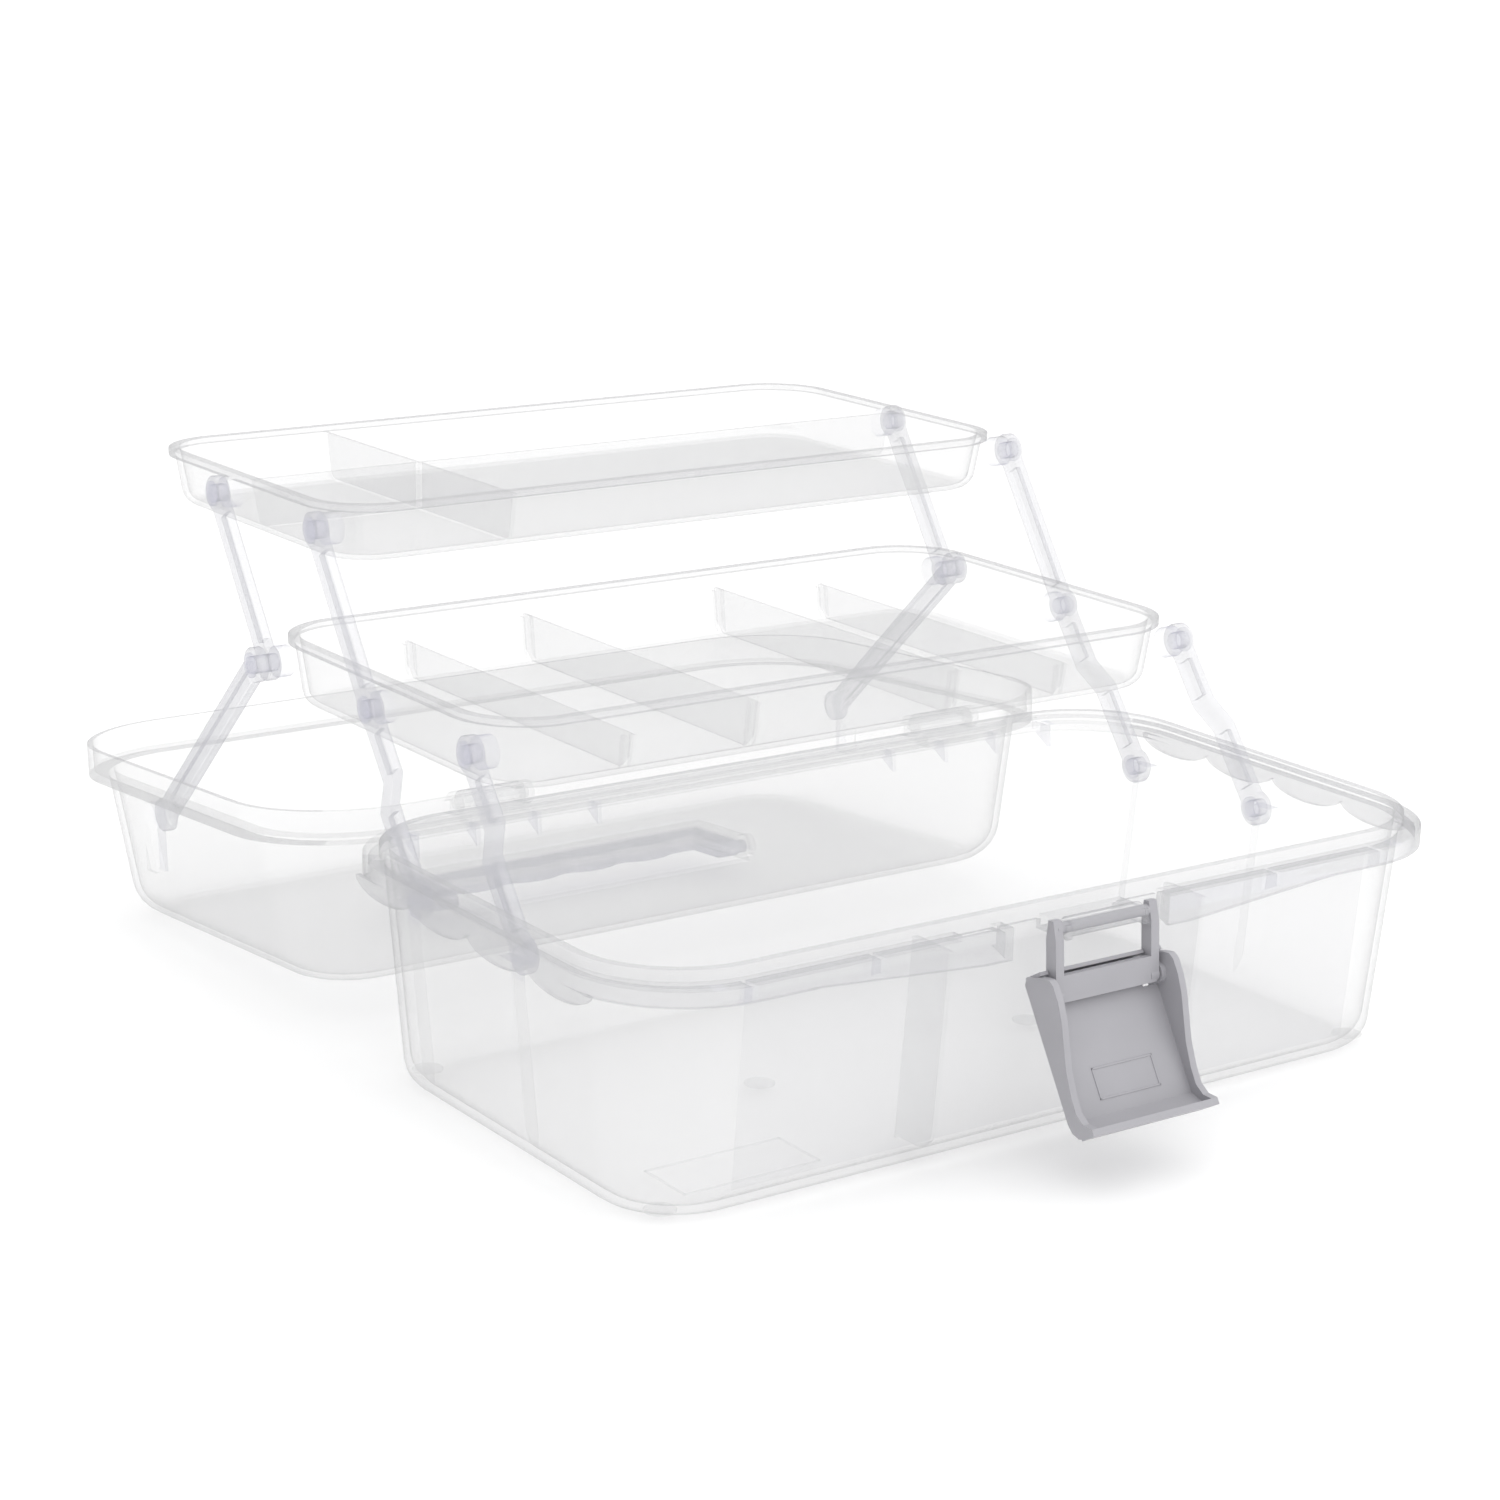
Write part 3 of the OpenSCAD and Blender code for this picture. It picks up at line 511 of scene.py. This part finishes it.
def wavyEdge():
    # the scalloped strip under the rim's two ends
    v = baseParts["wave"]
    out = []
    for k in range(4):
        mid = (k - 1.5) * v["pitch"]
        turns = [math.pi * i / v["steps"] for i in range(v["steps"] + 1)]
        arc = [(mid + v["half"] * math.cos(a), v["top"] - v["drop"] * math.sin(a)) for a in turns]
        out.append(sideSheet("wave", arc, *v["x"]))
    return out


def fin(x):
    f, d = baseParts["fin"], baseShape["opening"][1]
    top = insideHalf(d, f["top"])
    foot = insideHalf(d, f["foot"])
    outline = [(-top - f["sink"], f["top"]), (-foot - f["sink"], f["foot"]), *f["floor"],
               (-top + f["reach"], f["top"])]
    return sideSheet("fin", outline, x - f["half"], x + f["half"])


def baseTrim():
    # floor pads and the blank field, which lie on the shell
    p = baseParts
    radius, thick, z = p["pad"]
    out = [drum("floorPad", radius, thick, (side * x, y, z), "Z", edge=p["padEdge"])
           for side in (-1, 1) for x, y in p["pads"]]
    blank = p["blank"]
    low, high = blank["z"]
    for lo, hi in outlineStrips(*blank["field"], blank["line"]):
        out.append(box("blankEdge", (*lo, low), (*hi, high), blank["edge"]))
    return out


def dressBase(obj):
    p, w = baseParts, baseShape["opening"][0]
    cutWith(obj, [box("latchGap", *p["latchGap"]), box("slot", *p["slot"])])
    sides, pins = wavyEdge(), []
    for y, z in p["pivots"]:
        boss, column, pin = innerPivot(y, z)
        sides += [boss, column]
        pins.append(pin)
    sides += [gusset(x, 1) for x in p["gussetsBack"]] + [gusset(x, -1) for x in p["gussetsFront"]]
    skirt = p["frontSkirt"]
    outline = [(x, skirt["y"], z) for x, z in skirt["outline"]]
    sides.append(panel("frontSkirt", outline, (0, -skirt["thick"], 0)))
    sides.append(sideSheet("rimEnd", p["rimEnd"]["outline"], *p["rimEnd"]["x"]))
    sides.append(drum("knuckle", *p["knuckle"], edge=p["edge"]))
    sides.append(box("knuckleShelf", *p["knuckleShelf"]))
    sides.append(box("hoodPost", *p["hoodPost"]))
    middle = [fin(x) for x in p["fins"]]
    middle += [drum("clipBarrel", *p["clipBarrel"], edge=p["edge"]), box("clipShelf", *p["clipShelf"])]
    middle.append(box("hoodBar", *p["hoodBar"]))
    weld(obj, bothSides(sides) + middle)
    soften(obj, p["edge"])
    joinInto(obj, baseTrim() + bothSides(pins))

    zones = baseZones

    def onFin(c):
        front, floor, near = zones["fin"]
        return c.y < front and c.z > floor and min(abs(c.x - x) for x in p["fins"]) < near

    def onRimShade(c):
        low = zones["rimFrom"] if c.y < zones["rear"] else zones["rearRimFrom"]
        return c.z > low and beyond(c, zones["rimOutside"], baseShape["corner"])

    def onBoss(c):
        inner, off, near = zones["boss"]
        return inner < abs(c.x) < insideHalf(w, c.z) - off and nearPivot(c, p["pivots"], near)

    def onGusset(c):
        outside, low, high, near = zones["gusset"]
        away = min(abs(abs(c.x) - x) for x in p["gussetsBack"] + p["gussetsFront"])
        return abs(c.y) > outside and low < c.z < high and away < near

    def onClip(c):
        half, front = zones["clip"]
        return abs(c.x) < half and c.y < front

    # the rim and the clip get the rim finish: partly thicker plastic, partly painted shade lines
    paint(obj, sheetPp, [(dividerPp, onFin), (rimShadePp, onRimShade), (bossPp, onBoss), (bossPp, onGusset),
                         (rimShadePp, onClip)])
    return obj


# given for the shut lid; opened is the angle that it lies open at
lidShape = {"size": (332, 192), "bottom": 77.8, "height": 64.4, "skirt": 11.4, "step": 7, "draft": 8,
            "edge": 12, "wall": 2, "corner": 43, "recess": (134, 40, 7.6), "recessDraft": 4, "recessY": -2,
            "handle": (10, 138.0), "handleBoss": (4.6, 5.5, 3.25), "handleBore": (2.45, 9),
            "armEye": (-35.66, 100.09), "padRib": (3.5, 20), "padSink": 1, "ribSink": 0.6,
            "hinge": (102.2, 78.5), "opened": 184.4, "ears": (81.5, 108.5), "ear": (4, 3),
            "earArm": (1.4, (94.9, 78.3), 82.4), "pin": (2, 28, 95), "pinEdge": 0.3, "soft": 0.4}

# where each finish of the shut lid begins and ends, in mm; the rim's zone carries painted shade
lidZones = {"rimBefore": 85, "foot": 1, "shelf": 1.2, "pad": (6.5, 2.6)}


def makeLid():
    s = lidShape
    w, d = s["size"]
    shelf = s["bottom"] + s["skirt"]
    top = s["bottom"] + s["height"]
    obj = roundedSlab("lidTub", (w, d, s["skirt"]), (0, 0, s["bottom"] + s["skirt"] / 2), s["corner"])
    pick(obj, facesUp)
    insetStep(s["step"], 0)
    hollow(top - shelf, s["draft"], s["edge"], 1)
    pick(obj, facesDown)
    insetStep(s["wall"], 0)
    insetStep(0, -(s["skirt"] - s["wall"]))
    insetStep(s["step"], 0)
    hollow(top - shelf, s["draft"], s["edge"] - s["wall"], -1)
    bpy.ops.object.mode_set(mode="OBJECT")
    return obj


def trough(wall, z0, z1):
    # the handle's recess, grown by a wall, between two heights
    s = lidShape
    rl, rw, rh = s["recess"]
    slope = s["recessDraft"] / rh
    top = s["bottom"] + s["height"]
    ry = s["recessY"]
    low = rw / 2 + wall - slope * (top - z0)
    high = rw / 2 + wall - slope * (top - z1)
    outline = [(ry - low, z0), (ry + low, z0), (ry + high, z1), (ry - high, z1)]
    return sideSheet("trough", outline, -rl / 2 - wall, rl / 2 + wall)


def dressLid(obj):
    s = lidShape
    shelf = s["bottom"] + s["skirt"]
    top = s["bottom"] + s["height"]
    length, _, deep = s["recess"]
    y, z = s["armEye"]
    hy, hz = s["hinge"]
    half, rib = s["padRib"]
    reach = run["outer"] + run["arm"] + run["gap"]
    wall = s["size"][0] / 2 - s["step"] - s["wall"] - s["draft"] * (z - shelf) / (top - shelf)
    root = wall + s["padSink"]
    bossRadius, bossLong, bossOff = s["handleBoss"]
    sides = [drum("armPad", run["boss"], root - reach, ((root + reach) / 2, y, z), edge=run["bossEdge"]),
             box("armPadRib", (reach, y - half, z), (wall + s["ribSink"], y + half, z + rib)),
             drum("handleBoss", bossRadius, bossLong, (length / 2 + bossOff, *s["handle"]), edge=s["soft"])]
    armHalf, armFoot, armTop = s["earArm"]
    for x in s["ears"]:
        sides.append(drum("hingeEar", *s["ear"], (x, hy, hz), edge=s["soft"]))
        sides.append(box("hingeArm", (x - armHalf, *armFoot), (x + armHalf, hy, armTop)))
    weld(obj, bothSides(sides) + [trough(s["wall"], top - deep - s["wall"], top - s["wall"])])
    boreRadius, boreExtra = s["handleBore"]
    cutWith(obj, [trough(0, top - deep, top + 1),
                  drum("handleBore", boreRadius, length + boreExtra, (0, *s["handle"]), edge=0)])
    soften(obj, s["soft"])
    radius, long, x = s["pin"]
    joinInto(obj, bothSides([drum("hingePin", radius, long, (x, hy, hz), sides=24, edge=s["pinEdge"])]))
    zones = lidZones

    def onRimShade(c):
        low, level = c.z < s["bottom"] + zones["foot"], abs(c.z - shelf) < zones["shelf"]
        return c.y < zones["rimBefore"] and (low or level)

    def onPad(c):
        near, off = zones["pad"]
        return abs(c.y - y) < near and abs(c.z - z) < near and abs(c.x) < wall - off

    # the rim's bottom edge and shelf get the rim finish: partly thicker plastic, partly painted shade lines
    paint(obj, sheetPp, [(rimShadePp, onRimShade), (bossPp, onPad)])
    return placeBy(obj, turnAbout(hy, hz, s["opened"]))


# a pivot is its y and z, and the runs of arm on its pin: 1 for the inner, 2 for both
trayShape = {
    "upper": {"bead": (281, 142.4), "centre": (0, 192.85), "bottom": 156.4, "height": 20.2, "corner": 24,
              "pivots": ((129.2, 169.5, 1), (199.7, 169.5, 1))},
    "lower": {"bead": (282, 154), "centre": (0, 99.3), "bottom": 102.9, "height": 24.2, "corner": 26,
              "pivots": ((31, 117.5, 1), (94, 117.5, 1), (164.5, 117.5, 2))},
    "wall": 1.6, "draft": 3.4, "outerDraft": 0.9, "foot": 5, "beadWidth": 2.2, "beadThick": 2.4, "edge": 0.35,
    "crossX": -71, "crossDrop": 1.8, "longY": -2.8, "wallSink": 0.6, "footSink": 1,
    "rib": {"reach": (3.4, 2.6), "apart": 1.7, "half": 0.6, "foot": (1.2, 5), "play": (0.5, 0.4, 0.8)}}

# where each finish of a tray begins and ends, in mm; the bead's zone carries painted shade
trayZones = {"inside": 4.5, "floor": 3, "underBead": 0.1, "beadFrom": 0.5, "cornerLess": 3, "boss": 0.3}


def makeTray(name, s):
    t = trayShape
    w, d = s["bead"]
    rim = s["bottom"] + s["height"]
    obj = roundedSlab(name, (w, d, t["beadThick"]), (*s["centre"], rim - t["beadThick"] / 2), s["corner"])
    pick(obj, facesUp)
    insetStep(t["beadWidth"] + t["wall"], 0)
    hollow(s["height"] - t["wall"], t["draft"], t["foot"] - t["wall"], -1)
    pick(obj, facesDown)
    insetStep(t["beadWidth"], 0)
    hollow(s["height"] - t["beadThick"], t["draft"] * t["outerDraft"], t["foot"], 1)
    bpy.ops.object.mode_set(mode="OBJECT")
    return obj


def wallHalf(size, s, z):
    # inside half width of a tray at a height over its floor
    return size / 2 - trayShape["beadWidth"] - trayShape["wall"] - trayShape["draft"] * (1 - z / s["height"])


def dressTray(obj, s, parts):
    t = trayShape
    w, d = s["bead"]
    sides, pins = [], []
    for y, z, layers in s["pivots"]:
        wall = wallHalf(w, s, z - s["bottom"]) + t["wall"] / 2
        reach = (run["outer"] if layers == 2 else run["inner"]) + run["arm"] + run["gap"] / 2
        boss, pin = pivot(y, z, wall, run["inner"] - run["gap"], reach)
        sides.append(boss)
        pins.append(pin)
    weld(obj, bothSides(sides) + parts)
    soften(obj, t["edge"])
    joinInto(obj, bothSides(pins))
    mid = s["centre"][1]
    zones = trayZones
    underBead = s["bottom"] + s["height"] - t["beadThick"] - zones["underBead"]
    wallX, wallY = wallHalf(w, s, s["height"]), wallHalf(d, s, s["height"])
    opening = (wallX - zones["beadFrom"], wallY - zones["beadFrom"])
    places = [place[:2] for place in s["pivots"]]

    def onWalls(c):
        inside = abs(c.x) < wallX - zones["inside"] and abs(c.y - mid) < wallY - zones["inside"]
        return s is t["upper"] and c.z > s["bottom"] + zones["floor"] and inside

    def onBeadShade(c):
        return c.z > underBead and beyond(c, opening, s["corner"] - zones["cornerLess"], mid)

    def onBoss(c):
        near = nearPivot(c, places, run["boss"] + zones["boss"])
        return abs(c.x) > wallX + t["wall"] and c.z < underBead and near

    # the bead gets the rim finish: partly thicker plastic, partly painted shade lines
    paint(obj, sheetPp, [(dividerPp, onWalls), (rimShadePp, onBeadShade), (bossPp, onBoss)])
    return obj


def fixedWalls(s):
    # the upper tray's own cross wall and its long wall, from the floor up to just under the bead
    t = trayShape
    (w, d), cy = s["bead"], s["centre"][1]
    high = s["height"] - t["crossDrop"]
    z0, z1 = s["bottom"] + 1, s["bottom"] + high
    endY, footY = wallHalf(d, s, high) + t["wallSink"], wallHalf(d, s, t["foot"]) - t["footSink"]
    endX, footX = wallHalf(w, s, high) + t["wallSink"], wallHalf(w, s, t["foot"]) - t["footSink"]
    half = t["wall"] / 2
    cross = sideSheet("crossWall", [(cy - endY, z1), (cy - footY, z0), (cy + footY, z0), (cy + endY, z1)],
                      t["crossX"] - half, t["crossX"] + half)
    y = cy + t["longY"]
    outline = [(-endX, y, z1), (-footX, y, z0), (footX, y, z0), (endX, y, z1)]
    along = panel("longWall", outline, (0, t["wall"], 0))
    return [cross, along]


# x of each loose divider and its height at the walls
dividerShape = {"places": ((-88, 13.2), (-40, 17.1), (42, 17.1), (89, 13.2)), "lift": 1.9, "drop": 1,
                "play": (0.6, 0.8), "chamfer": (4.2, 4), "thick": 1.6, "edge": 0.3}


def slotRibs(s):
    # pairs of ribs that hold each divider at the front and the back
    r, d = trayShape["rib"], s["bead"][1]
    cy, z0, out = s["centre"][1], s["bottom"], []
    for x, high in dividerShape["places"]:
        topSink, footBack, toe = r["play"]
        top = wallHalf(d, s, high) + topSink
        foot = wallHalf(d, s, trayShape["foot"]) - footBack
        outline = [(top, high), (top - r["reach"][0], high), (foot - r["reach"][1], r["foot"][0]),
                   (foot, r["foot"][0]), (foot + toe, r["foot"][1])]
        for face in (-1, 1):
            for side in (-1, 1):
                mid = x + side * r["apart"]
                out.append(sideSheet("slotRib", [(cy + face * y, z0 + z) for y, z in outline],
                                     mid - r["half"], mid + r["half"]))
    return out


def makeDivider(number, s):
    v, d = dividerShape, s["bead"][1]
    x, high = v["places"][number - 1]
    cy, z0 = s["centre"][1], s["bottom"] + v["lift"]
    top = wallHalf(d, s, high) - v["play"][0]
    low = wallHalf(d, s, trayShape["foot"]) - v["play"][1]
    inset, rise = v["chamfer"]
    z1 = z0 + high - v["drop"]
    outline = [(cy - top, z1), (cy - low, z0 + rise), (cy - low + inset, z0),
               (cy + low - inset, z0), (cy + low, z0 + rise), (cy + top, z1)]
    obj = sideSheet(f"looseDivider{number}", outline, x - v["thick"] / 2, x + v["thick"] / 2)
    soften(obj, v["edge"])
    finishPiece(obj, f"divider_{number}", f"divider_{number}", dividerPp)


base = dressBase(makeBase())
lid = dressLid(makeLid())
upper, lower = trayShape["upper"], trayShape["lower"]
upperTray = dressTray(makeTray("upperTrayTub", upper), upper, fixedWalls(upper))
lowerTray = dressTray(makeTray("lowerTrayTub", lower), lower, slotRibs(lower))
finishPiece(base, "base", "base_shell")
finishPiece(lid, "lid", "lid_shell")
finishPiece(upperTray, "upper_tray", "upper_tray")
finishPiece(lowerTray, "lower_tray", "lower_tray")
for number in (1, 2, 3, 4):
    makeDivider(number, lower)
print("shells made")


# width that the edges of each piece are eased by, in mm
easing = {"arm": 0.35, "latchFrame": 0.5, "latchLever": 0.45, "carryGrip": 1.2, "angle": 30}


def easedCopy(name, node, width, body, material):
    # the solid's own mesh, merged into one skin, with its edges eased
    obj = copyOf(nodes[node], name)
    activate(obj)
    bpy.ops.object.mode_set(mode="EDIT")
    bpy.ops.mesh.select_all(action="SELECT")
    bpy.ops.mesh.remove_doubles(threshold=mm(fineness["merge"]))
    bpy.ops.mesh.dissolve_limited(angle_limit=math.radians(fineness["flatAngle"]))
    bpy.ops.object.mode_set(mode="OBJECT")
    soften(obj, width, 2, easing["angle"])
    finishPiece(obj, body, node, material)
    return obj


# axle as (y, z); the blank field as x and z measured along the plate from the axle
leverPlate = {"axle": (-100.5, 55.5), "lean": 31, "front": 2.7, "blank": (-12, 12, -33.5, -23.5),
              "line": 0.6, "sink": 0.25, "proud": 0.2, "edge": 0.1}


def leverMarks():
    # raised outline of the blank field on the lever's plate
    p = leverPlate
    turn = Matrix.Translation(mm(0, *p["axle"])) @ Matrix.Rotation(-math.radians(p["lean"]), 4, "X")
    marks = []
    for (x0, z0), (x1, z1) in outlineStrips(*p["blank"], p["line"]):
        lo, hi = (x0, p["front"] - p["sink"], z0), (x1, p["front"] + p["proud"], z1)
        mark = box("blankEdge", lo, hi, p["edge"])
        marks.append(placeBy(mark, turn))
        paint(mark, latchPp)
    return marks


for side in ("Left", "Right"):
    for arm in ("main_arm", "front_arm", "upper_rear_arm", "lid_arm"):
        node = f"{arm}_{side.lower()}"
        easedCopy(arm.title().replace("_", "") + side, node, easing["arm"], node, armPp)
easedCopy("latchFrame", "latch_frame", easing["latchFrame"], "latch_frame", latchPp)
lever = easedCopy("latchLever", "latch_lever", easing["latchLever"], "latch_lever", latchPp)
joinInto(lever, leverMarks())
easedCopy("carryGrip", "carry_handle", easing["carryGrip"], "handle", gripPp)
print("arms, latch and handle made")


# place in mm, angles in degrees, shift in pixels of a square frame
camera = {"at": (-652.46, -835.58, 397.80), "yaw": 35.24, "pitch": -15.52, "roll": 1.08, "focal": 3405.35,
          "shift": (1.0, 2.0), "frame": 1500, "sensor": 36, "clipEnd": 50}


def makeCamera():
    data = bpy.data.cameras.new("studioCamera")
    cam = bpy.data.objects.new("studioCamera", data)
    bpy.context.collection.objects.link(cam)
    yaw, pitch, roll = (math.radians(camera[k]) for k in ("yaw", "pitch", "roll"))
    ahead = Vector((math.sin(yaw) * math.cos(pitch), math.cos(yaw) * math.cos(pitch), math.sin(pitch)))
    right = Vector((math.cos(yaw), -math.sin(yaw), 0))
    up = right.cross(ahead)
    rolledRight = right * math.cos(roll) + up * math.sin(roll)
    rolledUp = up * math.cos(roll) - right * math.sin(roll)
    turn = Matrix((rolledRight, rolledUp, -ahead)).transposed()
    cam.matrix_world = Matrix.Translation(mm(*camera["at"])) @ turn.to_4x4()
    data.sensor_width = camera["sensor"]
    data.sensor_fit = "HORIZONTAL"
    data.lens = camera["focal"] / camera["frame"] * camera["sensor"]
    data.shift_x, data.shift_y = (v / camera["frame"] for v in camera["shift"])
    data.clip_end = camera["clipEnd"]
    bpy.context.scene.camera = cam


# air and key are strengths, keySpread is the width of the light in degrees; the floor is in metres
studio = {"air": 0.76, "key": 1.5, "keySpread": 130, "keyFrom": (0.8, -0.9, 1.7),
          "floor": 40, "floorDrop": 0.0004, "floorPaint": "ffffff", "floorRoughness": 0.9}


def makeStage():
    deselectAll()
    bpy.ops.mesh.primitive_plane_add(size=studio["floor"], location=(0, 0, -studio["floorDrop"]))
    floor = bpy.context.active_object
    floor.name = "paleFloor"
    mat = bpy.data.materials.new("paleFloorPaint")
    mat.use_nodes = True
    shell = mat.node_tree.nodes["Principled BSDF"]
    shell.inputs["Base Color"].default_value = toLinear(studio["floorPaint"])
    shell.inputs["Roughness"].default_value = studio["floorRoughness"]
    floor.data.materials.append(mat)
    world = bpy.data.worlds.new("studioAir")
    bpy.context.scene.world = world
    world.use_nodes = True
    air = world.node_tree.nodes["Background"]
    air.inputs["Color"].default_value = (1, 1, 1, 1)
    air.inputs["Strength"].default_value = studio["air"]
    light = bpy.data.lights.new("softKey", "SUN")
    light.energy = studio["key"]
    light.angle = math.radians(studio["keySpread"])
    lamp = bpy.data.objects.new("softKey", light)
    lamp.location = studio["keyFrom"]
    lamp.rotation_euler = Vector(studio["keyFrom"]).to_track_quat("Z", "Y").to_euler()
    bpy.context.collection.objects.link(lamp)


makeCamera()
makeStage()
bpy.context.scene.view_settings.view_transform = "Standard"
bpy.context.scene.cycles.transparent_max_bounces = 64   # so that many clear walls can lie behind each other
print("stage set")


def finishFor(nodeName):
    if nodeName.startswith("latch"):
        return latchPp
    if nodeName == "carry_handle":
        return gripPp
    return armPp if "arm" in nodeName else sheetPp


# the solids under the pieces get the same finishes
for nodeName, nodeObj in nodes.items():
    paint(nodeObj, finishFor(nodeName))
